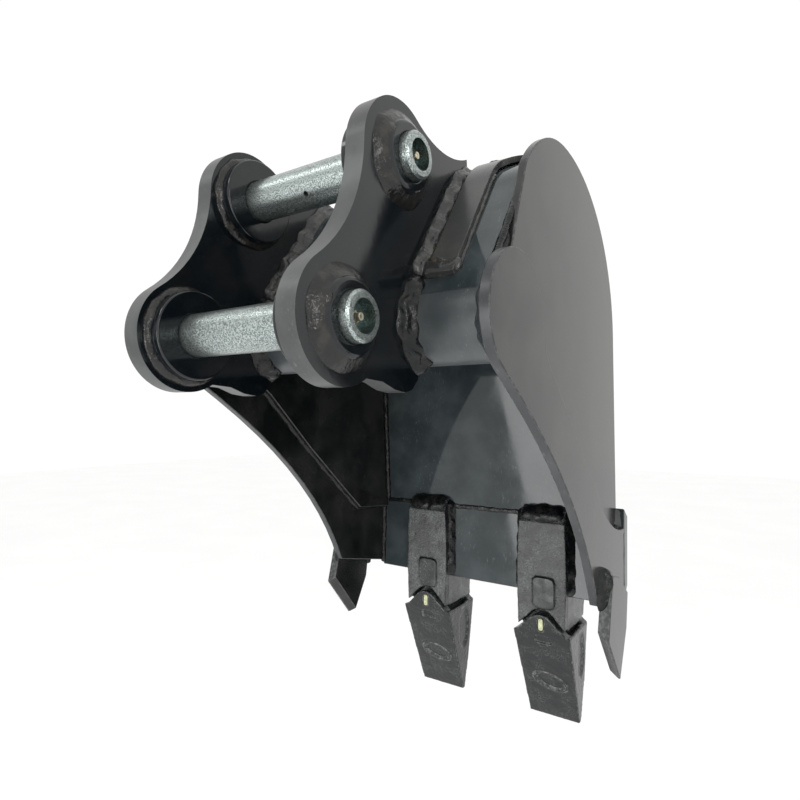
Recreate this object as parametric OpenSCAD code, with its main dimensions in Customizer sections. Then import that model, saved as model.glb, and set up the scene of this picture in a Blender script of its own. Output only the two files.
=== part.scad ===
// Excavator digging bucket, pin-on, for a small machine.
// Frame: origin at the middle of the arm pin axis. +X runs along the pins to the bucket's right,
// +Y runs back towards the heel, +Z up. The bucket hangs with its teeth down.
// Profiles are drawn in the side plane as [y, z] and given their width along X.

/* [Shell] */
// Half of the width between the side plates
shell_half = 132; // [120:1:160]
// Thickness of the rolled wrapper sheet
wrapper_t = 6; // [4:0.5:10]
// Thickness of each side plate
side_t = 6; // [4:0.5:10]
// Thickness of each side bar along the mouth
bar_t = 7.5; // [5:0.5:12]
// Radius of the rolled back
back_r = 141; // [130:1:150]
// Radius of the crown above the sloping front
crown_r = 60; // [40:1:80]
// Angle of the sloping front above level
slope_a = 55; // [50:1:60]

/* [Lip and cutters] */
// Thickness of the lip plate
lip_t = 16; // [14:0.5:20]
// Thickness of each side cutter
cutter_t = 10; // [6:0.5:14]

/* [Pins and ears] */
// Diameter of both pins
pin_d = 30; // [25:1:35]
// Radial running clearance of the pins in their bosses
pin_gap = 0.05; // [0.02:0.01:0.1]
// Clear gap between the inner bosses
arm_gap = 105.5; // [90:0.5:110]
// Inner face of each ear from the middle
ear_in = 63.5; // [60:0.5:70]
// Thickness of each ear
ear_t = 14.5; // [10:0.5:18]
// Radius of the lobes round both pins
lobe_r = 38.7; // [36:0.1:40]
// Outside diameter of the torque tube
tube_d = 57; // [50:1:60]
// Wall of the torque tube
tube_wall = 6; // [4:0.5:8]

/* [Teeth] */
// Distance of each tooth from the middle
tooth_x = 68.7; // [60:0.1:80]
// Half of a tooth's width at its shoulder
tooth_half = 30; // [27:0.1:32]
// Half of the adapter nose's width
nose_half = 18; // [15:0.5:20]
// Play round a lock pin in its hole
lock_gap = 0.3; // [0.1:0.05:0.5]

/* [Hidden] */
$fn = 64;
eps = 0.01;

// pins
arm_c = [0, 0];
link_c = [57.2, 109.65];
pin_r = pin_d / 2;
pin_end = 92.9;
pin_chamfer = 1.5;
cup_r = 10;
cup_depth = 9;
drill_r = 3;
port_r = 2;
port_x = 5;
arm_port_a = 180;
link_port_a = 40;

// bosses
flange_r = 31;
boss_r = 23.6;
boss_end = 86.2;
boss_chamfer = 2;
ear_out = ear_in + ear_t;

// torque tube
tube_r = tube_d / 2;
tube_c = [90, 7];

// wrapper: slope, crown arc, back arc, heel
slope_start = [78, 40];
back_c = [195, -3];
heel = [344, -160];
slope_n = [-sin(slope_a), cos(slope_a)];
crown_k = (slope_n * (slope_start - back_c) - crown_r) / (back_r - crown_r);
crown_a = 90 + slope_a - acos(crown_k);
crown_c = back_c + (back_r - crown_r) * polar(crown_a);
arc_step = 4;
curve_steps = 10;

// side plate
plate_top = 155;
plate_back_c = [back_c[0], plate_top - back_r];
plate_front_r = 93;
plate_front_c = [back_c[0], plate_top - plate_front_r];
side_out = shell_half + side_t;

// side bar
bar_out = side_out + bar_t;
bar_lobe_c = [88, 8];
bar_lobe_r = 41.5;

// lip, in the side plane
lip_top = heel[1];
lip_bottom = -240;
lip_rise = -147;
lip_in = heel[0] - wrapper_t;
lip_out = lip_in + lip_t + 3;
lip_lean = 3;

// cutter
cutter_out = bar_out + cutter_t;
cutter_edge = [[251, -245], [287.5, -289]];
cutter_land = 2;
cutter_bevel = 32;

// ear pad: a strip on the slope that flares towards the side plate on the crown
pad_in = ear_out + 9;
pad_out = 108;
pad_t = 4.5;
pad_low = 6;
pad_lift = 3;
pad_end = 86;
pad_flare = 130;
pad_plan = [[pad_in, 60], [pad_out, 60], [pad_out, 142], [pad_flare, 178], [pad_flare, 240],
    [pad_in, 240]];

// pin flag, its seat and bolt, on the left ear
flag_gap = 0.3;
flag_t = 8;
flag_r = 22;
flag_tip_r = 12;
seat_r = 10;
bolt_r = 5;
bolt_depth = 6;
arm_bolt_c = [42, -6];
link_bolt_c = [98, 100];
bolt_head_r = 8.5;
bolt_head_h = 6.4;

// adapters and teeth
adapter_half = 26;
adapter_barrel = 0.0005;
adapter_mid_z = -222;
adapter_front = 323;
adapter_back = 384;
shoulder = -274;
lug_r = 15;
valley_r = 9;
lug_a = 45;
lug_h = (lug_r + valley_r) * (1 - cos(lug_a))
    + (tooth_half - (lug_r + valley_r) * sin(lug_a)) * tan(lug_a);
nose_front = 334;
nose_back = 377;
nose_tip_z = -340;
tip_z = -378.5;
tip_y = 362;
tooth_tip_half = 27;
tooth_back_half = 28;
tip_t = 5;
tooth_front = 319.5;
tooth_back = 388;
tooth_tilt = atan2(tip_y - tooth_front - 3, shoulder - 4 - tip_z);
lock_w = 5;
lock_h = 12;
lock_z = -269;
lock_mouth = 2.5;
lock_len = 60;
lock_round = 2;
cast_pad = [23, 31, 3.2];
cast_pad_c = [3, -236.5];
shoulder_gap = 4.5;
pry_slot_depth = 2.5;

function polar(a) = [cos(a), sin(a)];
// Points of an arc from angle a0 to a1, at steps of about arc_step degrees
function arc(c, r, a0, a1) = let (n = ceil(abs(a1 - a0) / arc_step))
    [for (i = [0:n]) c + r * polar(a0 + (a1 - a0) * i / n)];
// Points of a smooth curve from p0 to p2 that bends towards p1
function curve(p0, p1, p2) = [for (i = [0:curve_steps]) let (t = i / curve_steps)
    (1 - t) * (1 - t) * p0 + 2 * t * (1 - t) * p1 + t * t * p2];
function reversed(list) = [for (i = [len(list) - 1:-1:0]) list[i]];
function angle_of(v) = atan2(v[1], v[0]);

// Gives a side-plane outline its width from x0 to x1
module slab(x0, x1) translate([x0, 0, 0]) rotate([90, 0, 90]) linear_extrude(x1 - x0) children();
// A round bar along X through the side-plane point c
module bar(c, r, x0, x1) translate([x0, c[0], c[1]]) rotate([0, 90, 0]) cylinder(h = x1 - x0, r = r);
module left() mirror([1, 0, 0]) children();
module at_tooth(side) translate([side * tooth_x, 0, 0]) children();

/* ---- shell ---- */

// The wrapper's path at a depth below its outer surface, from the tube over the crown to the heel
function shell_path(depth) = concat(
    [slope_start - depth * slope_n - 20 * polar(slope_a)],
    arc(crown_c, crown_r - depth, 90 + slope_a, crown_a),
    arc(back_c, back_r - depth, crown_a - arc_step, 0),
    [heel - [depth, 0]]);

module wrapper() color([0.16, 0.17, 0.18]) difference() {
    slab(-shell_half, shell_half)
        polygon(concat(shell_path(0), reversed(shell_path(wrapper_t))));
    bar(tube_c, tube_r, -shell_half - 1, shell_half + 1);
    slab(-shell_half - 1, shell_half + 1)
        polygon([tube_c - [60, 0], tube_c, tube_c - [0, 60], tube_c - [60, 60]]);
}

module side_plate() color([0.42, 0.42, 0.41]) difference() {
    slab(shell_half, side_out) polygon(concat(
        [[93, 50]],
        arc(plate_front_c, plate_front_r, 145, 90),
        arc(plate_back_c, back_r, 90 - arc_step, 0),
        [heel, [lip_in, lip_top], [lip_in - 1, -168], [282, -163], [255, -140], [198, -90],
         [142, -36], [104, -8], [88, 30]]));
    bar(tube_c, tube_r, shell_half - 1, side_out + 1);
}

module side_bar() color([0.44, 0.44, 0.43]) slab(side_out, bar_out) polygon(concat(
    arc(bar_lobe_c, bar_lobe_r, -8, 236),
    curve([89, -42], [215, -124], [255, -218]),
    [[heel[0], -237]],
    curve([heel[0], -166], [298, -166], [258, -125]),
    curve([152, -29], [134, -15], [130, 1])));

// The lip runs under the wrapper, and its back half rises behind it and covers the side bars' ends
module lip_plate() color([0.17, 0.18, 0.19]) {
    slab(-side_out, side_out) polygon([[lip_in, lip_top], [heel[0], lip_top],
        [heel[0], lip_bottom + 4], [lip_in + 1, lip_bottom], [lip_in - lip_lean, lip_bottom]]);
    slab(-bar_out, bar_out) polygon([[heel[0], lip_rise], [lip_out, lip_rise - 9],
        [lip_out - 1, -224], [heel[0], lip_bottom + 4]]);
}

module side_cutter() color([0.42, 0.42, 0.41]) difference() {
    slab(bar_out, cutter_out) polygon([cutter_edge[0], cutter_edge[1], [310, -250], [315, -219],
        [285, -198], [265, -193]]);
    translate([cutter_out - cutter_land, cutter_edge[0][0], cutter_edge[0][1]])
        rotate([angle_of(cutter_edge[1] - cutter_edge[0]), 0, 0])
            rotate([0, cutter_bevel, 0]) translate([-60, -20, -40]) cube([80, 120, 40]);
}

/* ---- ears ---- */

module torque_tube() color([0.2, 0.21, 0.22]) difference() {
    bar(tube_c, tube_r, -side_out, side_out);
    bar(tube_c, tube_r - tube_wall, -side_out - 1, side_out + 1);
}

// Circles that hollow the ear's outline are tangent to the lobes they run between
front_r = 98.6;
front_c = let (m = link_c / 2, d = link_c / norm(link_c), h = sqrt(pow(lobe_r + front_r, 2) - m * m))
    m + h * [-d[1], d[0]];
top_r = 77;
top_c = [113, 211];
top_a = angle_of(top_c - link_c);

module ear() color([0.19, 0.19, 0.19]) difference() {
    slab(ear_in, ear_out) polygon(concat(
        reversed(arc(top_c, top_r, 180 + top_a, 296)),
        arc(link_c, lobe_r, top_a, 180 + angle_of(link_c - front_c)),
        reversed(arc(front_c, front_r, angle_of(arm_c - front_c), angle_of(link_c - front_c))),
        arc(arm_c, lobe_r, 180 + angle_of(arm_c - front_c), 302),
        [[37, -34], [50, -38.5], [62, -40], [70, -38], [77, -31], [84, -10],
         slope_start - 22 * polar(slope_a), slope_start],
        arc(crown_c, crown_r, 90 + slope_a, 118)));
    bar(tube_c, tube_r, ear_in - 1, ear_out + 1);
    bar(arm_c, boss_r, ear_in - 1, ear_out + 1);
    bar(link_c, boss_r, ear_in - 1, ear_out + 1);
}

// A turned boss through the ear, with its flange on the inside
module boss(c) color([0.2, 0.2, 0.2]) difference() {
    union() {
        bar(c, flange_r, arm_gap / 2, ear_in);
        bar(c, boss_r, ear_in - eps, boss_end - boss_chamfer);
        translate([boss_end - boss_chamfer, c[0], c[1]]) rotate([0, 90, 0])
            cylinder(h = boss_chamfer, r1 = boss_r, r2 = boss_r - boss_chamfer);
    }
    bar(c, pin_r + pin_gap, arm_gap / 2 - 1, boss_end + 1);
}

// A strip lying on the sloping front beside each ear, lifting off the wrapper over the crown
module ear_pad() color([0.2, 0.21, 0.22]) intersection() {
    slab(pad_in, pad_flare) polygon(let (c = crown_c + pad_lift * polar(slope_a),
        low = slope_start - pad_low * polar(slope_a)) concat(
            [low], arc(c, crown_r, 90 + slope_a, pad_end),
            reversed(arc(c, crown_r + pad_t, 90 + slope_a, pad_end)), [low + pad_t * slope_n]));
    linear_extrude(300) polygon(pad_plan);
}

/* ---- pins ---- */

// The grease port opens at port_x, turned by port_a from the front of the pin
module pin(c, port_x, port_a) color([0.62, 0.66, 0.63]) difference() {
    union() {
        bar(c, pin_r, -boss_end - flag_gap, pin_end - pin_chamfer);
        translate([pin_end - pin_chamfer, c[0], c[1]]) rotate([0, 90, 0])
            cylinder(h = pin_chamfer, r1 = pin_r, r2 = pin_r - pin_chamfer);
    }
    bar(c, cup_r, pin_end - cup_depth, pin_end + 1);
    bar(c, drill_r, port_x - drill_r, pin_end);
    translate([port_x, c[0], c[1]]) rotate([90 + port_a, 0, 0]) cylinder(h = pin_r + 1, r = port_r);
}

module grease_nipple(c) color([0.7, 0.68, 0.6]) translate([pin_end - cup_depth, c[0], c[1]])
    rotate([0, 90, 0]) {
        translate([0, 0, -4]) cylinder(h = 4, r = drill_r);
        cylinder(h = 2.5, r = 4, $fn = 6);
        translate([0, 0, 2.5]) cylinder(h = 2.5, r1 = 2.6, r2 = 1.8);
        translate([0, 0, 5]) cylinder(h = 1.6, r1 = 2.6, r2 = 2.2);
    }

// A flag with a round end on the pin, a smaller one round its bolt, and straight sides between
module pin_flag(c, bolt_c) color([0.6, 0.63, 0.6]) difference() {
    slab(-boss_end - flag_gap - flag_t, -boss_end - flag_gap)
        polygon(let (a = angle_of(bolt_c - c), side_a = acos((flag_r - flag_tip_r) / norm(bolt_c - c)))
            concat(arc(c, flag_r, a + side_a, a + 360 - side_a),
                arc(bolt_c, flag_tip_r, a - side_a, a + side_a)));
    bar(bolt_c, bolt_r + 0.5, -boss_end - flag_gap - flag_t - 1, -boss_end);
}

module flag_seat(bolt_c) color([0.2, 0.2, 0.2]) difference() {
    bar(bolt_c, seat_r, -boss_end, -ear_out);
    bar(bolt_c, bolt_r + pin_gap, -boss_end - 1, -boss_end + bolt_depth + 1);
}

module flag_bolt(bolt_c) color([0.66, 0.67, 0.64]) {
    bar(bolt_c, bolt_r, -boss_end - flag_gap - flag_t, -boss_end + bolt_depth);
    translate([-boss_end - flag_gap - flag_t, bolt_c[0], bolt_c[1]]) rotate([0, -90, 0])
        cylinder(h = bolt_head_h, r = bolt_head_r, $fn = 6);
}

/* ---- teeth ---- */

// Outline across the tooth, in [x, z]: a round lug in the middle, with a round valley at each side
module wave_outline() polygon(concat(
    [[-tooth_tip_half, tip_z - 1]],
    arc([-tooth_half, shoulder + valley_r], valley_r, 270, 270 + lug_a),
    arc([0, shoulder + lug_h - lug_r], lug_r, 90 + lug_a, 90 - lug_a),
    arc([tooth_half, shoulder + valley_r], valley_r, 270 - lug_a, 270),
    [[tooth_tip_half, tip_z - 1]]));

module wave_block(y0, y1, lower) translate([0, y1, -lower]) rotate([90, 0, 0])
    linear_extrude(y1 - y0) wave_outline();

// The nose that fills the tooth's socket
module nose() slab(-nose_half, nose_half) polygon([[nose_front, shoulder + eps],
    [nose_back, shoulder + eps], [tip_y + 8, nose_tip_z], [tip_y - 4, nose_tip_z]]);

// The lock pin's cross section, in [x, z], grown by play
module lock_outline(play) translate([0, lock_z])
    rounded_rect(lock_w + 2 * play, lock_h + 2 * play, lock_round);

// A rounded rectangle from circles and squares
module rounded_rect(w, h, r) union() {
    square([w - 2 * r, h], center = true);
    square([w, h - 2 * r], center = true);
    for (x = [-1, 1], z = [-1, 1]) translate([x * (w / 2 - r), z * (h / 2 - r)]) circle(r, $fn = 24);
}

module lock_block(play, y0, y1) translate([0, y1, 0]) rotate([90, 0, 0]) linear_extrude(y1 - y0)
    lock_outline(play);

// The room that the lip takes between the adapter's two legs
module lip_slot() slab(-adapter_half - 1, adapter_half + 1) polygon([[lip_in - 1.1, -140],
    [lip_in, lip_top], [lip_in - lip_lean, lip_bottom], [lip_in + 1, lip_bottom],
    [heel[0], lip_bottom + 4], [lip_out - 1, -224], [lip_out, lip_rise - 9], [lip_out, -140]]);

// Half-width of the adapter at height z: it swells a little in the middle
function barrel(z) = adapter_half - adapter_barrel * pow(z - adapter_mid_z, 2);

module adapter_body() intersection() {
    slab(-adapter_half, adapter_half) polygon([[lip_in, -149], [331, -153],
        [adapter_front + 1, -166], [adapter_front, shoulder], [adapter_back, shoulder],
        [adapter_back, -246], [372, -214], [lip_out, -196]]);
    translate([0, adapter_back + 1, 0]) rotate([90, 0, 0]) linear_extrude(100) polygon(concat(
        [for (z = [-280:12:-148]) [-barrel(z), z]], [for (z = [-148:-12:-280]) [barrel(z), z]]));
}

module tooth_adapter() color([0.2, 0.21, 0.22]) difference() {
    union() {
        difference() {
            union() {
                adapter_body();
                translate([cast_pad_c[0], adapter_front + 1, cast_pad_c[1]]) rotate([90, 0, 0])
                    linear_extrude(cast_pad[2]) rounded_rect(cast_pad[0], cast_pad[1], 5);
            }
            lip_slot();
            wave_block(adapter_front - 5, nose_front, 0);
            wave_block(nose_back, adapter_back + 5, 0);
        }
        nose();
    }
    lock_block(lock_gap, tooth_front - 5, tooth_back + 5);
}

// The slot under the lock pin where a bar prises it out, widening downwards
module pry_slot() translate([0, tooth_front + 3, shoulder - 4]) rotate([tooth_tilt, 0, 0])
    translate([0, pry_slot_depth, 0]) rotate([90, 0, 0]) linear_extrude(pry_slot_depth + 3)
        polygon([[-6, -4], [7, -4], [10.5, -13], [-8, -13]]);

// The plan of a tooth, narrower at the back
module tooth_plan() translate([0, 0, tip_z - 1]) linear_extrude(shoulder + lug_h - tip_z + 2)
    polygon([[-tooth_half, tooth_front], [tooth_half, tooth_front],
        [tooth_back_half, tooth_back], [-tooth_back_half, tooth_back]]);

module tooth_point() color([0.24, 0.25, 0.26]) difference() {
    intersection() {
        slab(-tooth_half, tooth_half) polygon([[tooth_front, shoulder + lug_h],
            [tooth_front + 3, shoulder - 4], [tip_y, tip_z], [tip_y + tip_t, tip_z],
            [tooth_back, shoulder], [tooth_back, shoulder + lug_h]]);
        wave_block(tooth_front - 5, tooth_back + 5, shoulder_gap);
        tooth_plan();
    }
    nose();
    translate([-tooth_half - 1, nose_front, shoulder - shoulder_gap])
        cube([2 * tooth_half + 2, nose_back - nose_front, lug_h + 5]);
    lock_block(lock_gap, tooth_front - 5, tooth_back + 5);
    translate([1, 0, 0]) lock_block(1.3, tooth_front - 5, tooth_front + lock_mouth);
    pry_slot();
}

module tooth_lock_pin() color([0.62, 0.62, 0.42]) lock_block(0, tooth_front + 2,
    tooth_front + 2 + lock_len);

wrapper();
left() side_plate();  // side_plate_left
side_plate();  // side_plate_right
left() side_bar();  // side_bar_left
side_bar();  // side_bar_right
lip_plate();
left() side_cutter();  // side_cutter_left
side_cutter();  // side_cutter_right
torque_tube();
left() ear();  // ear_left
ear();  // ear_right
left() ear_pad();  // ear_pad_left
ear_pad();  // ear_pad_right
left() boss(arm_c);  // arm_boss_left
boss(arm_c);  // arm_boss_right
left() boss(link_c);  // link_boss_left
boss(link_c);  // link_boss_right
pin(arm_c, port_x, arm_port_a);  // arm_pin
pin(link_c, port_x, link_port_a);  // link_pin
grease_nipple(arm_c);  // arm_grease_nipple
grease_nipple(link_c);  // link_grease_nipple
pin_flag(arm_c, arm_bolt_c);  // arm_pin_flag
pin_flag(link_c, link_bolt_c);  // link_pin_flag
flag_seat(arm_bolt_c);  // arm_flag_seat
flag_seat(link_bolt_c);  // link_flag_seat
flag_bolt(arm_bolt_c);  // arm_flag_bolt
flag_bolt(link_bolt_c);  // link_flag_bolt
at_tooth(-1) tooth_adapter();  // tooth_adapter_left
at_tooth(1) tooth_adapter();  // tooth_adapter_right
at_tooth(-1) tooth_point();  // tooth_point_left
at_tooth(1) tooth_point();  // tooth_point_right
at_tooth(-1) tooth_lock_pin();  // tooth_lock_pin_left
at_tooth(1) tooth_lock_pin();  // tooth_lock_pin_right
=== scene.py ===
import math

import bmesh
import bpy
import numpy as np
from mathutils import Matrix, Quaternion, Vector, noise


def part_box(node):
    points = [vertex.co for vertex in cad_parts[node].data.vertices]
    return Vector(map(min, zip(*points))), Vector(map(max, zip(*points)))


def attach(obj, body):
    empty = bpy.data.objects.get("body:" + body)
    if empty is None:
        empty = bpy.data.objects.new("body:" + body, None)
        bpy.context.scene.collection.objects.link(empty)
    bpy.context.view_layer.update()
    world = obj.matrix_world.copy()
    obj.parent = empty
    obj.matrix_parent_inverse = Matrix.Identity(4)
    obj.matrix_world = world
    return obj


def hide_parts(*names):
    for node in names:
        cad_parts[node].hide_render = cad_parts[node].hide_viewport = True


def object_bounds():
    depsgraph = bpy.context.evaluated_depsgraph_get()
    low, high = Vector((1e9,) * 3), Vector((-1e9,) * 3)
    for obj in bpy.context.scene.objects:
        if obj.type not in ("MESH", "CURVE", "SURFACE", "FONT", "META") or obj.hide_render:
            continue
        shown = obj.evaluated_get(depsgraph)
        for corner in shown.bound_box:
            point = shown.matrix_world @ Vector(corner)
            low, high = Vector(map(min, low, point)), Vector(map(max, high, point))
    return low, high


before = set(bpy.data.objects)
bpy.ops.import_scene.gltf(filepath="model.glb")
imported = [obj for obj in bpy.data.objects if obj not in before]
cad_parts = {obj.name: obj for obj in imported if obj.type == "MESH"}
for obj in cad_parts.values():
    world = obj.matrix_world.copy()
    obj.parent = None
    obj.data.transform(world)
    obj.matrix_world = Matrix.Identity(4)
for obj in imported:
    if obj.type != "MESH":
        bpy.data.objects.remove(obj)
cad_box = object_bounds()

# Lengths are millimetres in the named values below, and mm turns them into metres.
# Side-plane places are (y, z), as in the CAD: y back towards the heel, z up.
MM = 0.001

EAR_IN = 63.5
EAR_OUT = 78.0
BOSS_R = 23.6
FLANGE_R = 31.0
# The boss welds behind the pin flags are smaller, to clear them
FLAG_SIDE_LEG = 5.6
CUP_R = 10.0
CUP_FLOOR = 83.9
TUBE_C = (90.0, 7.0)
TUBE_R = 28.5
SHELL_HALF = 132.0
SIDE_OUT = 138.0
BAR_OUT = 145.5
WRAPPER_T = 6.0
SLOPE_A = 55.0
SLOPE_START = (78.0, 40.0)
CROWN_C = (176.4, 75.8)
CROWN_R = 60.0
CROWN_END_A = 103.0
BACK_C = (195.0, -3.0)
BACK_R = 141.0
HEEL = (344.0, -160.0)
LIP_FACE = 338.0
LIP_BOTTOM = -240.0
LIP_BACK = 357.0
LIP_RISE = -147.0
PAD_IN = 87.0
PAD_OUT = 108.0
PAD_T = 7.5
TOOTH_X = 68.7
ADAPTER_HALF = 26.0
CAST_PAD_Y = 321.6
LOCK_Z = -269.0
# Half the width and height kept clear of cast skin round a lock pin
LOCK_ROOM = (4.6, 8.2)
FRONT_TOP = (322.5, -278.0)
FRONT_TIP = (362.0, -378.5)


def metres(x, y, z):
    return Vector((x * MM, y * MM, z * MM))


def centre_of(node):
    low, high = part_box(node)
    middle = (low + high) / 2 / MM
    return middle.y, middle.z


ARM_C = centre_of("arm_boss_right")
LINK_C = centre_of("link_boss_right")


# ---- materials -------------------------------------------------------------------------------

class Shader:
    """A material's node tree, built up by short calls; every pattern lies in the row frame."""

    def __init__(self, name):
        self.material = bpy.data.materials.new(name)
        self.material.use_nodes = True
        self.tree = self.material.node_tree
        self.surface = self.tree.nodes["Principled BSDF"]
        self.place = self.tree.nodes.new("ShaderNodeTexCoord").outputs["Object"]

    def node(self, kind, settings=None, **sockets):
        made = self.tree.nodes.new(kind)
        for key, value in (settings or {}).items():
            setattr(made, key, value)
        for key, value in sockets.items():
            self.feed(made.inputs[key.replace("_", " ")], value)
        return made

    def feed(self, socket, value):
        if isinstance(value, bpy.types.NodeSocket):
            self.tree.links.new(value, socket)
        else:
            socket.default_value = value

    def stretched(self, scale, turn=(0, 0, 0)):
        made = self.node("ShaderNodeMapping", Vector=self.place)
        made.inputs["Scale"].default_value = scale
        made.inputs["Rotation"].default_value = turn
        return made.outputs[0]

    def noise(self, size_mm, detail=3.0, rough=0.55, vector=None):
        made = self.node("ShaderNodeTexNoise", Vector=vector or self.place, Scale=1 / (size_mm * MM),
                         Detail=detail, Roughness=rough)
        return made.outputs["Fac"]

    def between(self, value, low, high, to_low=0.0, to_high=1.0):
        made = self.node("ShaderNodeMapRange", {"interpolation_type": "SMOOTHSTEP"}, Value=value)
        for key, number in (("From Min", low), ("From Max", high), ("To Min", to_low),
                            ("To Max", to_high)):
            made.inputs[key].default_value = number
        return made.outputs[0]

    def math(self, operation, a, b=0.0):
        made = self.node("ShaderNodeMath", {"operation": operation})
        self.feed(made.inputs[0], a)
        self.feed(made.inputs[1], b)
        return made.outputs[0]

    def mix(self, factor, a, b):
        made = self.node("ShaderNodeMix", {"data_type": "RGBA"})
        self.feed(made.inputs["Factor"], factor)
        self.feed(made.inputs[6], a if isinstance(a, bpy.types.NodeSocket) else (*a, 1.0))
        self.feed(made.inputs[7], b if isinstance(b, bpy.types.NodeSocket) else (*b, 1.0))
        return made.outputs[2]

    def bump(self, height, depth_mm, strength=1.0, below=None):
        made = self.node("ShaderNodeBump", Height=height, Distance=depth_mm * MM, Strength=strength)
        if below is not None:
            self.tree.links.new(below, made.inputs["Normal"])
        return made.outputs[0]

    def finish(self, colour, roughness, normal=None, **constants):
        self.feed(self.surface.inputs["Base Color"], colour)
        self.feed(self.surface.inputs["Roughness"], roughness)
        if normal is not None:
            self.feed(self.surface.inputs["Normal"], normal)
        for key, value in constants.items():
            self.surface.inputs[key.replace("_", " ")].default_value = value
        return self.material


def paint(name, base, worn, dull=0.0, scratches=0.6, peel=0.05):
    """Black gloss paint over plate: cloudy colour, orange peel, long rub marks and dusty patches."""
    s = Shader(name)
    clouds = s.noise(38, 4)
    rubs = s.noise(1.9, 5, 0.7, s.stretched((1.0, 0.35, 0.30), (0.15, 0.65, 0.1)))
    where = s.between(s.noise(60, 2), 0.42, 0.62)
    rub_mask = s.math("MULTIPLY", s.between(rubs, 0.57, 0.72), where)
    rub_mask = s.math("MULTIPLY", rub_mask, scratches)
    specks = s.between(s.noise(1.6, 2), 0.68, 0.76, 0.0, 0.35)
    colour = s.mix(s.between(clouds, 0.35, 0.7), base, worn)
    colour = s.mix(s.math("MAXIMUM", rub_mask, specks), colour, tuple(2.0 * c + 0.05 for c in worn))
    rough = s.between(clouds, 0.3, 0.75, 0.18 + dull, 0.23 + dull)
    rough = s.math("ADD", rough, s.math("MULTIPLY", rub_mask, 0.25))
    waves = s.bump(s.noise(5.0, 2, 0.4), peel, 1.0)
    grain = s.bump(s.noise(0.9, 2), peel * 0.25, 1.0, waves)
    return s.finish(colour, rough, grain, IOR=1.5)


def chipped_and_highlit_edge(name, base, bright):
    """Plate edges, where the paint is thin and chips show grey steel; the lighter colour along the
    whole edge is also painted highlight, standing in for the light that rounded edges catch.
    """
    s = Shader(name)
    chips = s.between(s.noise(3.5, 4, 0.65), 0.45, 0.62)
    # Lighter edge colour: chipped paint, and painted highlight along the edge
    colour = s.mix(chips, base, bright)
    rough = s.between(s.noise(2.0), 0.3, 0.7, 0.28, 0.5)
    return s.finish(colour, rough, s.bump(s.noise(0.8, 2), 0.03), IOR=1.5)


def weld_paint(name, base, tinted, rust_from, gloss, lump_mm, ior=1.5):
    """Painted weld metal: glossy lumps, tinted patches and a few rusty specks."""
    s = Shader(name)
    tint = s.between(s.noise(9, 3), 0.45, 0.7)
    colour = s.mix(tint, base, tinted)
    rust = s.between(s.noise(5.5, 4, 0.6), rust_from, rust_from + 0.08, 0.0, 0.7)
    colour = s.mix(rust, colour, (0.12, 0.075, 0.040))
    rough = s.between(s.noise(4, 3), 0.3, 0.7, gloss, gloss + 0.14)
    lumps = s.bump(s.noise(3.0, 3), lump_mm)
    return s.finish(colour, rough, s.bump(s.noise(0.7, 2), 0.03, 1.0, lumps), IOR=ior)


def cast_paint(name, base, worn, depth, gloss, ior=1.5):
    """Painted casting: a pitted sand skin with lighter grains on its high spots, partly light specks in
    the skin and partly painted glints standing in for its specular mottling.
    """
    s = Shader(name)
    sand = s.noise(1.5, 4, 0.65)
    patches = s.noise(16, 3)
    # Painted glints: the high spots of the sand bump get a much lighter colour, standing in for
    # specular sparkle, along with light specks in the skin
    high = s.math("MULTIPLY", s.between(sand, 0.50, 0.66), s.between(patches, 0.40, 0.62))
    colour = s.mix(s.between(patches, 0.35, 0.65), base, worn)
    colour = s.mix(s.math("MULTIPLY", high, 0.8), colour, tuple(3.0 * c + 0.05 for c in worn))
    rough = s.between(sand, 0.3, 0.7, gloss, gloss + 0.14)
    skin = s.bump(s.noise(4.5, 3, 0.6), depth * 1.1)
    return s.finish(colour, rough, s.bump(sand, depth, 1.0, skin), IOR=ior)


def zinc_plate(name, ground, bright):
    """Zinc-plated steel: fine bright grains over a grey-green ground, with faint turning lines."""
    s = Shader(name)
    grain = s.noise(0.9, 4, 0.7)
    blotch = s.noise(11, 3)
    colour = s.mix(s.between(grain, 0.40, 0.60), ground, bright)
    colour = s.mix(s.between(blotch, 0.5, 0.75, 0.0, 0.3), colour, tuple(0.6 * c for c in bright))
    rough = s.between(grain, 0.3, 0.7, 0.36, 0.24)
    turned = s.noise(0.5, 2, 0.5, s.stretched((1.0, 0.02, 0.02)))
    lines = s.bump(turned, 0.01)
    return s.finish(colour, rough, s.bump(grain, 0.09, 1.0, lines), Metallic=0.9)


def plain_metal(name, dark, light, metallic):
    """A small plated or turned part."""
    s = Shader(name)
    cloud = s.noise(2.5, 4, 0.6)
    colour = s.mix(s.between(cloud, 0.35, 0.65), dark, light)
    rough = s.between(cloud, 0.3, 0.7, 0.25, 0.45)
    return s.finish(colour, rough, s.bump(s.noise(0.6, 2), 0.02), Metallic=metallic)


def floor_finish(name):
    s = Shader(name)
    colour = s.mix(s.between(s.noise(400, 2), 0.3, 0.7), (0.945, 0.945, 0.955), (0.965, 0.965, 0.975))
    return s.finish(colour, 0.85)


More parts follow.
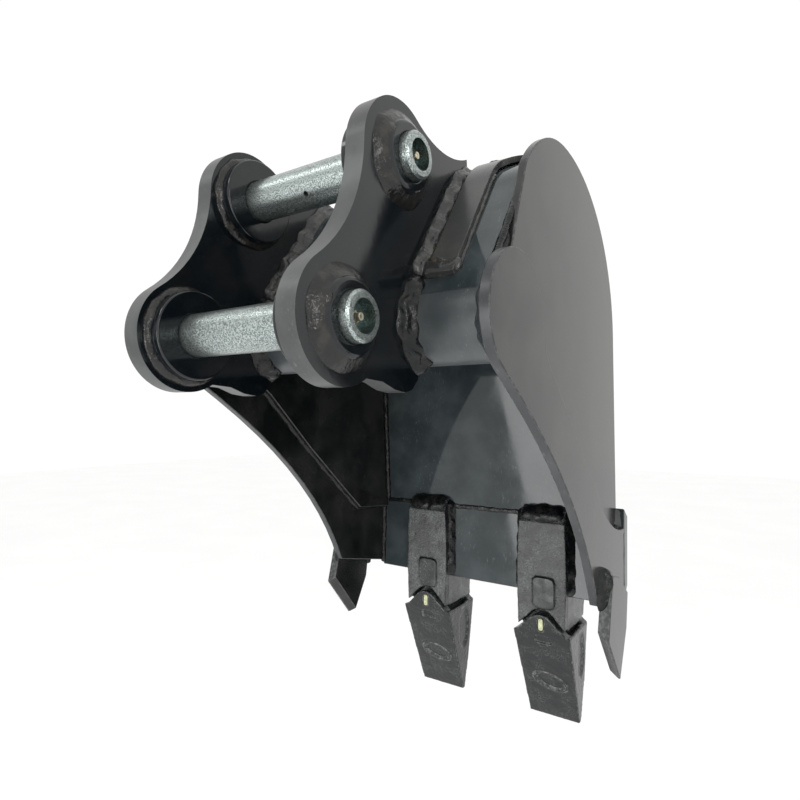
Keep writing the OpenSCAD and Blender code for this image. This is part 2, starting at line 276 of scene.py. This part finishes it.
M_SHELL = paint("shell_black", (0.026, 0.035, 0.038), (0.048, 0.060, 0.064), -0.14, 0.7, 0.004)
M_TUBE = paint("tube_slate", (0.044, 0.052, 0.056), (0.080, 0.088, 0.091), 0.17, 1.0, 0.03)
M_SIDE = paint("side_black", (0.004, 0.005, 0.005), (0.022, 0.023, 0.021), 0.02, 0.15, 0.02)
M_EAR = paint("ear_black", (0.0035, 0.0055, 0.0075), (0.009, 0.0105, 0.0115), -0.08, 0.2, 0.03)
M_RIM = paint("rim_grey", (0.034, 0.036, 0.037), (0.066, 0.069, 0.070), 0.18, 0.8, 0.03)
M_BAR_RIM = paint("bar_rim", (0.020, 0.023, 0.026), (0.044, 0.047, 0.050), 0.12, 0.8, 0.03)
M_EDGE = chipped_and_highlit_edge("plate_edge", (0.03, 0.031, 0.031), (0.075, 0.077, 0.076))
M_WELD = weld_paint("weld_black", (0.005, 0.006, 0.007), (0.022, 0.021, 0.019), 0.74, 0.06, 0.65,
                    1.38)
M_BOSS_WELD = weld_paint("boss_weld", (0.008, 0.008, 0.008), (0.026, 0.024, 0.020), 0.82, 0.08, 0.60)
M_PAD = paint("pad_grey", (0.044, 0.046, 0.046), (0.076, 0.075, 0.070), 0.06, 1.0, 0.06)
M_PAD_WELD = weld_paint("pad_weld", (0.026, 0.027, 0.027), (0.058, 0.056, 0.050), 0.66, 0.07, 0.80)
M_FOOT_WELD = weld_paint("foot_weld", (0.030, 0.031, 0.031), (0.060, 0.057, 0.050), 0.56, 0.10, 0.70)
M_TUBE_WELD = weld_paint("tube_weld", (0.030, 0.036, 0.039), (0.07, 0.078, 0.08), 0.80, 0.05, 0.80)
M_ADAPTER = cast_paint("adapter_cast", (0.007, 0.008, 0.009), (0.028, 0.031, 0.032), 0.70, 0.07,
                       1.72)
M_CAST_PAD = cast_paint("cast_pad", (0.014, 0.016, 0.017), (0.026, 0.028, 0.028), 0.12, 0.14)
M_TOOTH = cast_paint("tooth_cast", (0.003, 0.004, 0.005), (0.008, 0.009, 0.010), 0.16, 0.13)
M_CUTTER_RIM = chipped_and_highlit_edge("cutter_rim", (0.018, 0.020, 0.021), (0.075, 0.080, 0.080))
M_CAST_EDGE = chipped_and_highlit_edge("cast_edge", (0.020, 0.022, 0.023), (0.130, 0.135, 0.135))
M_ZINC = zinc_plate("pin_zinc", (0.13, 0.155, 0.15), (0.52, 0.58, 0.565))
# A darker copy of the zinc for the recessed cup in a pin's end: painted shade in the recess
M_CUP_SHADED = zinc_plate("pin_cup_painted_shade", (0.07, 0.10, 0.096), (0.24, 0.30, 0.285))
M_NIPPLE = plain_metal("nipple_brass", (0.45, 0.40, 0.28), (0.75, 0.70, 0.55), 0.9)
M_LOCK = plain_metal("lock_plug", (0.38, 0.40, 0.22), (0.66, 0.68, 0.45), 0.0)


# ---- modelling helpers -----------------------------------------------------------------------

def dress(node, material, edge=None, width_mm=0.8, segments=3, rim=None):
    """Gives a CAD node its material and softens its sharp edges, with their own finish.

    A plate's rim is the part of its skin that doesn't face along X."""
    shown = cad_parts[node]
    mesh = shown.data
    mesh.materials.clear()
    mesh.materials.append(material)
    for polygon in mesh.polygons:
        polygon.use_smooth = True
    weld = shown.modifiers.new("join", "WELD")
    weld.merge_threshold = 1e-6
    flat = shown.modifiers.new("flat_faces", "DECIMATE")
    flat.decimate_type = "DISSOLVE"
    flat.angle_limit = math.radians(0.4)
    bevel = shown.modifiers.new("soft_edges", "BEVEL")
    bevel.width = width_mm * MM
    bevel.segments = segments
    bevel.limit_method = "ANGLE"
    bevel.angle_limit = math.radians(32)
    if edge is not None:
        mesh.materials.append(edge)
        bevel.material = 1
    if rim is not None:
        mesh.materials.append(rim)
        for polygon in mesh.polygons:
            if abs(polygon.normal.x) < 0.5:
                polygon.material_index = 2
    shade = shown.modifiers.new("shade", "WEIGHTED_NORMAL")
    shade.keep_sharp = False
    return shown


def new_piece(name, mesh, material, body):
    piece = bpy.data.objects.new(name, mesh)
    bpy.context.scene.collection.objects.link(piece)
    mesh.materials.clear()
    mesh.materials.append(material)
    for polygon in mesh.polygons:
        polygon.use_smooth = True
    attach(piece, body)
    return piece


def arc_points(c, r, a0, a1, step=4.0):
    n = max(2, math.ceil(abs(a1 - a0) / step))
    angles = [math.radians(a0 + (a1 - a0) * i / n) for i in range(n + 1)]
    return [(c[0] + r * math.cos(a), c[1] + r * math.sin(a)) for a in angles]


def ring_path(c, r, x, side, a0=0.0, a1=360.0, lean=1.0):
    """A path round the X axis through c, whose bead faces outwards and towards +side X."""
    path = []
    for y, z in arc_points(c, r, a0, a1):
        out = Vector((side * lean, (y - c[0]) / r, (z - c[1]) / r))
        path.append((Vector((x, y, z)), out.normalized()))
    return path


def shell_points(depth):
    """The wrapper's outline at a depth below its outer face, with the outward normal of each point."""
    slope = math.radians(SLOPE_A)
    normal = (-math.sin(slope), math.cos(slope))
    found = [((SLOPE_START[0] - depth * normal[0], SLOPE_START[1] - depth * normal[1]), normal)]
    for c, r, a0, a1 in ((CROWN_C, CROWN_R, 90 + SLOPE_A, CROWN_END_A),
                         (BACK_C, BACK_R, CROWN_END_A, 0.0)):
        for p in arc_points(c, r - depth, a0, a1):
            found.append((p, ((p[0] - c[0]) / (r - depth), (p[1] - c[1]) / (r - depth))))
    found.append(((HEEL[0] - depth, HEEL[1]), (1.0, 0.05)))
    return found


def along_shell(depth, x, side, flip, keep=lambda y, z: True):
    """A path on the wrapper at x, facing its outside, or its inside where flip is -1."""
    path = []
    for (y, z), (ny, nz) in shell_points(depth):
        if keep(y, z):
            path.append((Vector((x, y, z)), Vector((side, flip * ny, flip * nz)).normalized()))
    return path


def straight(a, b, out):
    facing = Vector(out).normalized()
    return [(Vector(a), facing), (Vector(b), facing)]


def polyline(points, out):
    facing = Vector(out).normalized()
    return [(Vector(p), facing) for p in points]


def wander(s, rng, lengths):
    """A smooth random curve along s, about -1 to 1."""
    total = np.zeros_like(s)
    for length in lengths:
        total += np.sin(2 * math.pi * s / (length * rng.uniform(0.8, 1.25)) + rng.uniform(0, 6.3))
    return total / math.sqrt(len(lengths)) * 0.8


BEAD_STEP = 0.7
BEAD_SIDES = 16


def round_section():
    """A bead's section as (up, across) of unit size, from its crown round its hidden side."""
    angle = np.linspace(0, 2 * math.pi, BEAD_SIDES, endpoint=False)
    return np.cos(angle), np.sin(angle)


def fillet_section(bulge):
    """The section of a fillet with unit legs, flat between its toes or bulging a little."""
    angle = np.radians(np.linspace(-50, 50, BEAD_SIDES - 3))
    up = math.sqrt(0.5) * (1 + bulge * (1 - (angle / math.radians(45)) ** 2))
    across = up * np.tan(angle)
    return np.append(up, [0.2, -0.2, 0.2]), np.append(across, [0.5, 0.0, -0.5])


def bead(name, path, wide, high, seed, closed=False, pitch=2.4, ripple=0.07, rough=1.0,
         material=None, slot="shell_paint", section=None, tail=1.0, ridges=3):
    """A weld bead along path: its pool froze in crescents one pitch apart, and it wanders a little."""
    rng = np.random.default_rng(seed)
    up, across = section or round_section()
    points = np.array([p for p, _ in path], float)
    facing = np.array([o for _, o in path], float)
    lengths = np.linalg.norm(np.diff(points, axis=0), axis=1)
    at = np.concatenate([[0], np.cumsum(lengths)])
    count = max(8, int(at[-1] / BEAD_STEP))
    s = np.linspace(0, at[-1], count, endpoint=not closed)
    centre = np.stack([np.interp(s, at, points[:, i]) for i in range(3)], 1)
    out = np.stack([np.interp(s, at, facing[:, i]) for i in range(3)], 1)
    if closed:
        tangent = np.roll(centre, -1, 0) - np.roll(centre, 1, 0)
    else:
        tangent = np.gradient(centre, axis=0)
    tangent /= np.linalg.norm(tangent, axis=1)[:, None]
    out -= (out * tangent).sum(1)[:, None] * tangent
    out /= np.linalg.norm(out, axis=1)[:, None]
    side = np.cross(tangent, out)

    angle = np.arctan2(across, up)[None, :]
    pool = s[:, None] + 0.45 * wide * np.cos(angle) + 0.3 * wander(s, rng, (17, 7))[:, None]
    turns = max(1, round(at[-1] / pitch)) / at[-1]
    dimes = 1 + ripple * (np.abs(np.sin(math.pi * pool * turns)) - 0.6)
    swell = 1 + rough * (0.08 * wander(s, rng, (31, 17)) + 0.008 * wander(s, rng, (9, 6)))
    lobes = 1 + rough * 0.04 * np.sin(ridges * angle + wander(s, rng, (29, 19))[:, None] * 2)
    shape = dimes * swell[:, None] * lobes
    if not closed:
        near_end = np.minimum(s, (at[-1] - s) / tail) / (0.9 * wide)
        shape *= np.sqrt(np.clip(1 - (1 - np.clip(near_end, 0, 1)) ** 2, 0.02, 1))[:, None]
    drift = 0.10 * rough * wide * wander(s, rng, (41, 15))
    ring = centre[:, None, :] + (out[:, None, :] * (up[None, :] * high * shape)[..., None]
                                 + side[:, None, :] * (across[None, :] * wide * shape
                                                       + drift[:, None])[..., None])
    verts = (ring * MM).reshape(-1, 3)
    faces = []
    for i in range(count if closed else count - 1):
        j = (i + 1) % count
        for k in range(BEAD_SIDES):
            m = (k + 1) % BEAD_SIDES
            faces.append((i * BEAD_SIDES + k, j * BEAD_SIDES + k, j * BEAD_SIDES + m,
                          i * BEAD_SIDES + m))
    if not closed:
        last = (count - 1) * BEAD_SIDES
        faces.append(tuple(reversed(range(BEAD_SIDES))))
        faces.append(tuple(last + k for k in range(BEAD_SIDES)))
    mesh = bpy.data.meshes.new(name)
    mesh.from_pydata(verts.tolist(), [], faces)
    fixer = bmesh.new()
    fixer.from_mesh(mesh)
    bmesh.ops.recalc_face_normals(fixer, faces=fixer.faces)
    fixer.to_mesh(mesh)
    fixer.free()
    return new_piece(name, mesh, material or M_WELD, "bucket")


def mirrored(path):
    return [(Vector((-p.x, p.y, p.z)), Vector((-o.x, o.y, o.z))) for p, o in path]


def bead_pair(name, path, wide, high, seed, **more):
    """The same weld on both sides of the bucket, each frozen in its own way."""
    bead(name + "_right", path, wide, high, seed, **more)
    bead(name + "_left", mirrored(path), wide, high, seed + 500, **more)


# ---- CAD nodes' finishes ---------------------------------------------------------------------

def dress_shell():
    dress("wrapper", M_SHELL, M_EDGE, 0.6)
    dress("lip_plate", M_SHELL, M_EDGE, 0.9)
    dress("torque_tube", M_TUBE, M_EDGE, 0.5)
    for side in ("left", "right"):
        dress("side_plate_" + side, M_SIDE, M_EDGE, 0.9)
        dress("side_bar_" + side, M_SIDE, M_EDGE, 0.9, rim=M_BAR_RIM)
        dress("side_cutter_" + side, M_SIDE, M_EDGE, 0.8, rim=M_CUTTER_RIM)
        dress("ear_pad_" + side, M_PAD, M_EDGE, 0.8)


def dress_ears():
    for side in ("left", "right"):
        dress("ear_" + side, M_EAR, M_EDGE, 0.9, rim=M_RIM)
        for pin in ("arm", "link"):
            dress(pin + "_boss_" + side, M_EAR, None, 1.6, 4)


def dress_pins():
    for pin, c in (("arm", ARM_C), ("link", LINK_C)):
        shown = dress(pin + "_pin", M_ZINC, None, 0.5)
        # The recessed cup in the pin end takes the darker zinc copy: painted shade
        shown.data.materials.append(M_CUP_SHADED)
        for polygon in shown.data.polygons:
            x, y, z = (shown.matrix_world @ polygon.center) / MM
            if x > CUP_FLOOR - 0.5 and math.hypot(y - c[0], z - c[1]) < CUP_R + 0.2:
                polygon.material_index = 1
        dress(pin + "_pin_flag", M_ZINC, None, 0.6)
        dress(pin + "_flag_bolt", M_ZINC, None, 0.5)
        dress(pin + "_flag_seat", M_EAR, None, 0.5)
        dress(pin + "_grease_nipple", M_NIPPLE, None, 0.15, 2)


# ---- castings --------------------------------------------------------------------------------

# An edge takes the lighter edge finish, partly wear and partly painted highlight, where the skin leans
# over 24 degrees from every flat face.
WORN_AND_HIGHLIT_EDGE = math.cos(math.radians(24))


def cast_piece(node, name, material, voxel_mm, rounds, sculpt, smooth_face=None,
               flats=None):
    """A casting with rounded edges and an uneven skin, grown from its CAD node.

    Where smooth_face is true of a place on it, the skin is smoother, with its own finish.
    Where flats are given, as the normals of its flat faces, the edges between them take a lighter
    finish: wear, and painted highlight."""
    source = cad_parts[node]
    rough = bpy.data.objects.new(name + "_rough", source.data.copy())
    bpy.context.scene.collection.objects.link(rough)
    remesh = rough.modifiers.new("grid", "REMESH")
    remesh.mode = "VOXEL"
    remesh.voxel_size = voxel_mm * MM
    smooth = rough.modifiers.new("round", "SMOOTH")
    smooth.iterations = rounds
    smooth.factor = 0.5
    graph = bpy.context.evaluated_depsgraph_get()
    mesh = bpy.data.meshes.new_from_object(rough.evaluated_get(graph))
    bpy.data.objects.remove(rough)
    mesh.name = name
    count = len(mesh.vertices)
    place = np.zeros(count * 3)
    mesh.vertices.foreach_get("co", place)
    place = place.reshape(-1, 3) / MM
    normal = np.zeros(count * 3)
    mesh.vertices.foreach_get("normal", normal)
    normal = normal.reshape(-1, 3)
    skin = np.array([noise.noise(Vector(p / 4.0)) + 0.5 * noise.noise(Vector(p / 1.9))
                     for p in place])
    if smooth_face is not None:
        skin *= np.array([0.2 if smooth_face(p) else 1.0 for p in place])
    moved = place + normal * (0.16 * skin)[:, None] + sculpt(place, normal)
    mesh.vertices.foreach_set("co", (moved * MM).ravel())
    piece = new_piece(name, mesh, material, "bucket")
    if smooth_face is not None:
        mesh.materials.append(M_CAST_PAD)
        for polygon in mesh.polygons:
            if smooth_face(polygon.center / MM):
                polygon.material_index = 1
    if flats is not None:
        # Edges between flat faces get the lighter edge finish: wear, and painted highlight
        mesh.materials.append(M_CAST_EDGE)
        last = len(mesh.materials) - 1
        for polygon in mesh.polygons:
            if max(polygon.normal.dot(flat) for flat in flats) < WORN_AND_HIGHLIT_EDGE:
                polygon.material_index = last
    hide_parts(node)
    return piece


def step(value, low, high):
    t = np.clip((value - low) / (high - low), 0, 1)
    return t * t * (3 - 2 * t)


def tooth_slope():
    """The direction down a tooth's face, and the face's normal."""
    slope = np.array([0.0, FRONT_TIP[0] - FRONT_TOP[0], FRONT_TIP[1] - FRONT_TOP[1]])
    slope /= np.linalg.norm(slope)
    return slope, np.array([0.0, slope[2], -slope[1]])


def tooth_sculpt(side):
    """Marks cast in the tooth: an oval ring on its face and scooped flanks."""
    slope, face = tooth_slope()

    def sculpt(place, normal):
        x = place[:, 0] - side * TOOTH_X
        down = (place - np.array([0.0, *FRONT_TOP])) @ slope
        on_front = step(normal @ face, 0.75, 0.95)
        oval = np.hypot((x - 2.0) / 17.0, (down - 60.5 - 0.15 * (x - 2.0)) / 10.0)
        ring = np.exp(-((oval - 1.0) / 0.10) ** 2)
        raised = 1.5 * ring * on_front
        dish = -1.6 * step(1.0 - oval, 0.0, 0.35) * on_front
        lift = (raised + dish)[:, None] * face
        flank = step(np.abs(normal[:, 0]), 0.8, 0.97)
        scoop = np.hypot((place[:, 1] - 362.0) / 13.0, (place[:, 2] + 306.0) / 26.0)
        depth = 2.2 * step(1.0 - scoop, 0.0, 0.35) * flank
        lift[:, 0] -= np.sign(x) * depth
        return lift

    return sculpt


def adapter_sculpt(side):
    """Uneven cast skin on the adapter, with a low seam down its flanks and the skin sunk round its lock
    hole.
    """
    def sculpt(place, normal):
        lift = np.zeros_like(place)
        seam = np.exp(-((place[:, 1] - 331.0) / 0.8) ** 2) * step(np.abs(normal[:, 0]), 0.6, 0.9)
        lift[:, 0] += np.sign(place[:, 0] - side * TOOTH_X) * 0.5 * seam
        dents = np.array([noise.noise(Vector(p / 9.0)) for p in place])
        lift += normal * (0.35 * dents)[:, None]
        aside = np.abs(place[:, 0] - side * TOOTH_X) / LOCK_ROOM[0]
        above = np.abs(place[:, 2] - LOCK_Z) / LOCK_ROOM[1]
        in_hole = (np.maximum(aside, above) < 1.0) & (np.abs(normal[:, 1]) < 0.8)
        lift[in_hole] = -0.8 * normal[in_hole]
        return lift

    return sculpt


def on_cast_pad(place):
    """Whether a place lies on the raised pad of an adapter's face."""
    return place[1] < CAST_PAD_Y


def build_castings():
    voxel = 1.0
    tooth_flats = [Vector(tooth_slope()[1])]
    for x, y, z in ((1, 0, 0), (-1, 0, 0), (0, 1, 0), (0, 0, 1), (0, 0, -1), (0, 0.98, -0.2)):
        tooth_flats.append(Vector((x, y, z)).normalized())
    for side, word in ((-1, "left"), (1, "right")):
        cast_piece("tooth_adapter_" + word, "adapter_casting_" + word, M_ADAPTER,
                   voxel, 2, adapter_sculpt(side), on_cast_pad)
        cast_piece("tooth_point_" + word, "tooth_casting_" + word, M_TOOTH,
                   voxel, 4, tooth_sculpt(side), flats=tooth_flats)
        dress("tooth_lock_pin_" + word, M_LOCK, None, 0.8)


# ---- welds -----------------------------------------------------------------------------------

def weld_bosses():
    seed = 10
    for pin, c in (("arm", ARM_C), ("link", LINK_C)):
        outer = ring_path(c, BOSS_R - 0.6, EAR_OUT - 1, 1, lean=1.25)
        bead(f"weld_{pin}_boss_outer_right", outer, 8.2, 8.2, seed, closed=True, ripple=0.012,
             rough=0.7, material=M_BOSS_WELD, section=fillet_section(0.10))
        bead(f"weld_{pin}_boss_outer_left", mirrored(outer), FLAG_SIDE_LEG, FLAG_SIDE_LEG, seed + 500,
             closed=True, ripple=0.012, rough=0.7, material=M_BOSS_WELD,
             section=fillet_section(0.10))
        bead_pair(f"weld_{pin}_boss_inner", ring_path(c, FLANGE_R, EAR_IN, -1), 4.4, 3.6, seed + 1,
                  closed=True, ripple=0.02, material=M_BOSS_WELD)
        seed += 2


def weld_ears():
    crown_reach = 114.0
    top = [p for p in arc_points(CROWN_C, CROWN_R, 90 + SLOPE_A, crown_reach)]
    for x, side, word in ((EAR_OUT, 1, "outer"), (EAR_IN, -1, "inner")):
        path = [(Vector((x, SLOPE_START[0] - 3, SLOPE_START[1] - 4)),
                 Vector((side, -0.8, 0.6)).normalized())]
        for y, z in top:
            normal = Vector((side, (y - CROWN_C[0]) / CROWN_R, (z - CROWN_C[1]) / CROWN_R))
            path.append((Vector((x, y, z)), normal.normalized()))
        bead_pair(f"weld_ear_{word}", path, 8.4, 8.4, 20 + side, rough=1.2, ripple=0.0, ridges=8,
                  material=M_PAD_WELD, section=fillet_section(0.12))
        bead_pair(f"weld_ear_tube_{word}", ring_path(TUBE_C, TUBE_R - 0.5, x, side, 104, 262), 9.5, 9.5,
                  30 + side, rough=1.3, ripple=0.0, ridges=7, section=fillet_section(0.15))


def weld_pads():
    lift = PAD_T * 0.5
    slope = math.radians(SLOPE_A)
    foot = (SLOPE_START[0] + 2 * math.cos(slope), SLOPE_START[1] + 2 * math.sin(slope))
    normal = (-math.sin(slope), math.cos(slope))
    for x, side, reach, wide, word in ((PAD_IN, -1, 96, 3.0, "inner"),
                                       (PAD_OUT + 0.5, 1, 136, 1.7, "outer")):
        path = [(Vector((x, foot[0], foot[1])), Vector((side, *normal)).normalized())]
        for y, z in arc_points(CROWN_C, CROWN_R + 1, 90 + SLOPE_A, reach):
            n = ((y - CROWN_C[0]) / CROWN_R, (z - CROWN_C[1]) / CROWN_R)
            path.append((Vector((x, y, z)), Vector((side * 0.8, *n)).normalized()))
        bead_pair(f"weld_pad_{word}", path, wide, wide, 40 + side, pitch=3.4, ripple=0.04,
                  material=M_PAD_WELD)
    low = (foot[0] + lift * normal[0], foot[1] + lift * normal[1])
    bead_pair("weld_pad_foot", straight((PAD_IN - 6, low[0] + 1, low[1] - 3), (PAD_OUT + 3, low[0] + 2,
                                        low[1] - 2), (0, -1, 0.2)), 7.0, 4.0, 45, ripple=0.01,
              rough=1.4, material=M_FOOT_WELD)
    end = arc_points(CROWN_C, CROWN_R + 4, 104, 100)[-1]
    bead_pair("weld_pad_end", straight((PAD_IN + 2, end[0] - 6, end[1] - 1),
                                       (SHELL_HALF - 2, end[0] + 12, end[1] + 1),
                                       (0, -0.4, 1)), 6.5, 4.0, 47, pitch=4.0, rough=2.0,
              material=M_PAD_WELD)


def weld_tube():
    bead_pair("weld_tube_bar", ring_path(TUBE_C, TUBE_R - 0.6, SIDE_OUT, -1, 110, 250), 10.0, 10.0, 50,
              ripple=0.0, rough=1.2, material=M_TUBE_WELD, section=fillet_section(0.0))
    bead_pair("weld_tube_plate", ring_path(TUBE_C, TUBE_R, SHELL_HALF, -1, -95, 88), 3.2, 3.0, 51)


def weld_shell():
    inside = along_shell(WRAPPER_T, SHELL_HALF, -1, -1)
    bead_pair("weld_shell_inner", inside, 3.4, 3.4, 60)
    outside = along_shell(0, SHELL_HALF + 0.5, -0.3, 1)
    bead_pair("weld_shell_outer", outside, 2.8, 2.4, 62)


def weld_lip():
    seam_z = HEEL[1]
    bead("weld_lip_seam", straight((-SHELL_HALF, LIP_FACE, seam_z), (SHELL_HALF, LIP_FACE, seam_z),
                                   (0, -1, 0)), 2.6, 1.0, 70, rough=1.5)
    reach = BAR_OUT - 9
    bead("weld_lip_back", straight((-reach, HEEL[0], LIP_RISE), (reach, HEEL[0], LIP_RISE), (0, 1, 1)),
         4.4, 3.6, 71)
    corner = polyline([(SIDE_OUT, LIP_FACE, seam_z - 2), (SIDE_OUT, LIP_FACE - 2.5, LIP_BOTTOM + 2)],
                      (-1, -1, 0))
    bead_pair("weld_lip_corner", corner, 3.6, 3.4, 72)
    lap = [(336, -168), (282, -163), (255, -140), (198, -90), (142, -36), (106, -10)]
    bead_pair("weld_lap", polyline([(SIDE_OUT, y, z) for y, z in lap], (-1, -0.7, -0.7)), 3.2, 2.8,
              74)
    end = [(BAR_OUT - 0.4, HEEL[0] - 1, -170), (BAR_OUT - 0.4, HEEL[0] - 1, -232)]
    notch = straight((SIDE_OUT, HEEL[0], LIP_RISE - 1), (SIDE_OUT, HEEL[0], -168), (1, -1, 0))
    bead_pair("weld_lip_notch", notch, 4.6, 4.6, 78, ripple=0.02, rough=1.3, material=M_RIM,
              section=fillet_section(-0.1))
    bead_pair("weld_bar_end", polyline(end, (1, -0.4, 0)), 1.2, 0.7, 76)


def weld_adapters():
    for side, word in ((-1, "left"), (1, "right")):
        x = side * TOOTH_X
        half = ADAPTER_HALF - 2.5
        bead(f"weld_adapter_top_{word}", straight((x - half, 332, -157), (x + half, 332, -157),
                                                  (0, -0.75, 0.65)), 10.0, 5.5, 80 + side, ripple=0.02,
             rough=0.8)
        for edge, tag in ((-1, "a"), (1, "b")):
            ex = x + edge * (ADAPTER_HALF - 0.5)
            path = polyline([(ex - edge * 2, LIP_FACE, -154), (ex, LIP_FACE, -190),
                             (ex, LIP_FACE - 2.6, LIP_BOTTOM + 1)], (edge, -1, 0))
            bead(f"weld_adapter_front_{tag}_{word}", path, 7.0, 7.0, 90 + 3 * side + edge, ripple=0.02,
                 section=fillet_section(0.05))
            rear = polyline([(ex, LIP_BACK, -200), (ex, LIP_BACK, -232)], (edge, 1, 0))
            bead(f"weld_adapter_rear_{tag}_{word}", rear, 4.4, 4.0, 100 + 3 * side + edge)
        bead(f"weld_adapter_rear_top_{word}", straight((x - half, LIP_BACK, -196),
                                                       (x + half, LIP_BACK, -196), (0, 1, 1)),
             4.6, 4.2, 110 + side)


def weld_cutters():
    front = polyline([(BAR_OUT, 264, -186), (BAR_OUT, 262, -204), (BAR_OUT, 256, -222)], (1, -1, 0))
    bead_pair("weld_cutter_front", front, 9.0, 9.0, 120, ripple=0.03, rough=0.8, tail=3.0,
              section=fillet_section(-0.15))
    back = polyline([(BAR_OUT, 267, -192), (BAR_OUT, 287, -197), (BAR_OUT, 316, -219),
                     (BAR_OUT, 312, -236)], (0.8, 0.3, 1))
    bead_pair("weld_cutter_back", back, 3.6, 3.2, 121)


def build_welds():
    weld_bosses()
    weld_ears()
    weld_pads()
    weld_tube()
    weld_shell()
    weld_lip()
    weld_adapters()
    weld_cutters()


# ---- stage -----------------------------------------------------------------------------------

def make_camera():
    """A viewpoint a little to the right of the mouth, level with the ears."""
    azimuth, elevation = math.radians(34.87), math.radians(-0.64)
    right = Vector((math.cos(azimuth), math.sin(azimuth), 0))
    back = Vector((math.sin(azimuth) * math.cos(elevation),
                   -math.cos(azimuth) * math.cos(elevation), math.sin(elevation)))
    up = back.cross(right)
    data = bpy.data.cameras.new("camera")
    data.sensor_width = 36
    data.lens = 26.34
    data.shift_x = 0.0058
    data.shift_y = 0.0070
    data.clip_start = 0.01
    camera = bpy.data.objects.new("camera", data)
    camera.matrix_world = (Matrix.Translation(metres(289.5, -253.0, -52.7))
                           @ Matrix((right, up, back)).transposed().to_4x4())
    bpy.context.scene.collection.objects.link(camera)
    bpy.context.scene.camera = camera


def soft_panel(name, place, target, width, height, radiance, roll=0.0):
    """A soft box at place, facing target and rolled by that many degrees, all in metres."""
    data = bpy.data.lights.new(name, "AREA")
    data.shape = "RECTANGLE"
    data.size = width
    data.size_y = height
    data.energy = radiance * math.pi * width * height
    panel = bpy.data.objects.new(name, data)
    panel.location = place
    aim = (Vector(target) - Vector(place)).to_track_quat("-Z", "Y")
    panel.rotation_euler = (aim @ Quaternion((0, 0, 1), math.radians(roll))).to_euler()
    panel.visible_camera = False
    bpy.context.scene.collection.objects.link(panel)


FLOOR_DROP = 0.45


def make_stage():
    floor_z = cad_box[0].z - FLOOR_DROP
    mesh = bpy.data.meshes.new("floor")
    half = 8.0
    mesh.from_pydata([(-half, -half, floor_z), (half, -half, floor_z), (half, half, floor_z),
                      (-half, half, floor_z)], [], [(0, 1, 2, 3)])
    mesh.materials.append(floor_finish("pale_floor"))
    floor = bpy.data.objects.new("floor", mesh)
    bpy.context.scene.collection.objects.link(floor)
    world = bpy.data.worlds.new("studio")
    world.use_nodes = True
    background = world.node_tree.nodes["Background"]
    background.inputs["Color"].default_value = (1.0, 1.0, 0.985, 1.0)
    background.inputs["Strength"].default_value = 1.025
    bpy.context.scene.world = world
    soft_panel("front_panel", (-0.42, -1.5, -0.32), (-0.42, 0.0, -0.32), 0.72, 1.0, 4.0, 12.0)
    soft_panel("upper_strip", (-0.9, -1.1, 1.3), (0.0, 0.1, -0.1), 1.4, 0.25, 4.5)
    soft_panel("side_strip", (1.3, -0.9, 0.3), (0.0, 0.1, 0.0), 0.12, 0.9, 12.0)
    bpy.context.scene.view_settings.view_transform = "Standard"


make_camera()
make_stage()
dress_shell()
dress_ears()
dress_pins()
build_castings()
build_welds()
